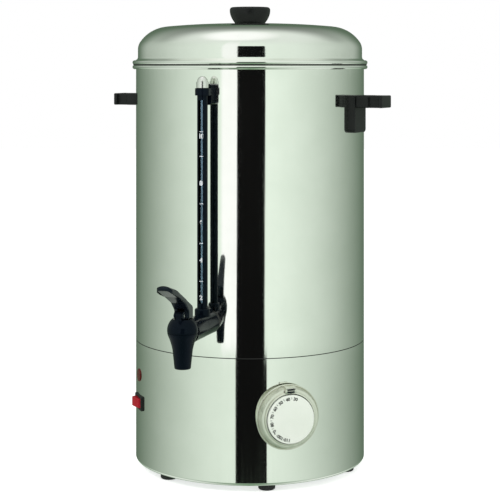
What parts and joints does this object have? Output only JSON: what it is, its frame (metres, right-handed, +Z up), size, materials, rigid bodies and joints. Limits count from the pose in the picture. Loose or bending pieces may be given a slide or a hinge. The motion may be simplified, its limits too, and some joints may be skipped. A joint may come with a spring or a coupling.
{
  "type": "hot water urn",
  "caption": "Tall electric hot water urn with a domed lid, side handles, a glass level gauge, a lever tap, a thermostat dial and a rocker switch.",
  "frame": {"origin": "on the tank's axis at the level the feet stand on", "axes": "+Z up along the tank, the front faces -Y, +X to the viewer's right"},
  "size_m": [0.3105, 0.3731, 0.5105],
  "materials": {
    "steel": "mirror polished stainless sheet",
    "black_plastic": "glossy black",
    "dark_plastic": "satin black",
    "glass": "clear gauge glass",
    "chrome": "bright plated",
    "rubber": "black rubber",
    "silicone": "translucent white silicone",
    "zinc": "zinc plated steel",
    "brass": "turned brass",
    "aluminium": "cast aluminium",
    "white_plastic": "white",
    "red_plastic": "red",
    "lamp_red": "dark red",
    "cream_plastic": "ceramic cream",
    "wire": "brown insulated leads",
    "element_steel": "heat darkened steel"
  },
  "bodies": {
    "urn": {"tank_wall": "steel", "tank_floor": "steel", "base_skirt": "steel", "base_plate": "zinc", "feet": "rubber", "foot_screws": "zinc", "stay_studs": "zinc", "stay_nuts": "zinc", "handle_right": "black_plastic", "handle_left": "black_plastic", "handle_inserts": "brass", "handle_screws": "zinc", "handle_washers": "silicone", "gauge_tube": "glass", "gauge_guard": "black_plastic", "gauge_clip": "black_plastic", "gauge_cap": "chrome", "gauge_seals": "silicone", "clip_screw": "zinc", "gauge_socket": "black_plastic", "tap_body": "black_plastic", "tap_bonnet": "black_plastic", "lever_pin": "chrome", "tap_spring": "zinc", "tap_seals": "rubber", "tank_nut": "dark_plastic", "dial_bezel": "chrome", "index_marks": "black_plastic", "thermostat_body": "cream_plastic", "thermostat_screws": "zinc", "capillary": "brass", "switch_housing": "dark_plastic", "switch_tabs": "zinc", "lamp_lens": "lamp_red", "lamp_body": "dark_plastic", "inlet_housing": "dark_plastic", "inlet_pins": "brass", "inlet_screws": "zinc", "heat_plate": "aluminium", "heating_element": "element_steel", "element_pins": "zinc", "cutout": "cream_plastic", "cutout_bracket": "zinc", "cutout_screws": "zinc", "earth_stud": "brass", "wiring": "wire"},
    "lid": {"lid_shell": "steel", "lid_knob": "black_plastic", "knob_insert": "brass", "knob_screw": "zinc", "knob_washer": "silicone"},
    "lever": {"tap_lever": "black_plastic"},
    "valve": {"tap_stem": "dark_plastic", "stem_pin": "chrome", "seat_cup": "silicone"},
    "dial": {"dial_knob": "white_plastic", "thermostat_shaft": "zinc"},
    "switch_rocker": {"rocker": "red_plastic"}
  },
  "joints": [
    {"name": "lid_lift", "type": "slide", "parent": "urn", "child": "lid", "axis": [0, 0, 1], "range_m": [0, 0.15]},
    {"name": "lever_pull", "type": "hinge", "parent": "urn", "child": "lever", "pos_m": [-0.06987, -0.19729, 0.1969], "axis": [0.9426, -0.3338, 0], "range_deg": [0, 35], "stiffness_Nm_per_rad": 0.15, "springref_deg": -28.65},
    {"name": "valve_lift", "type": "slide", "parent": "urn", "child": "valve", "axis": [0, 0, 1], "range_m": [0, 0.0058], "deforming": ["tap_spring"]},
    {"name": "dial_turn", "type": "hinge", "parent": "urn", "child": "dial", "pos_m": [0.04163, -0.13367, 0.079], "axis": [-0.2974, 0.9548, 0], "range_deg": [-12, 168]},
    {"name": "rocker_tilt", "type": "hinge", "parent": "urn", "child": "switch_rocker", "pos_m": [-0.11983, -0.03894, 0.0753], "axis": [0, 0, -1], "range_deg": [0, 24]}
  ],
  "couplings": [
    {"joint": "valve_lift", "follows": "lever_pull", "m_per_rad": 0.0091673}
  ]
}
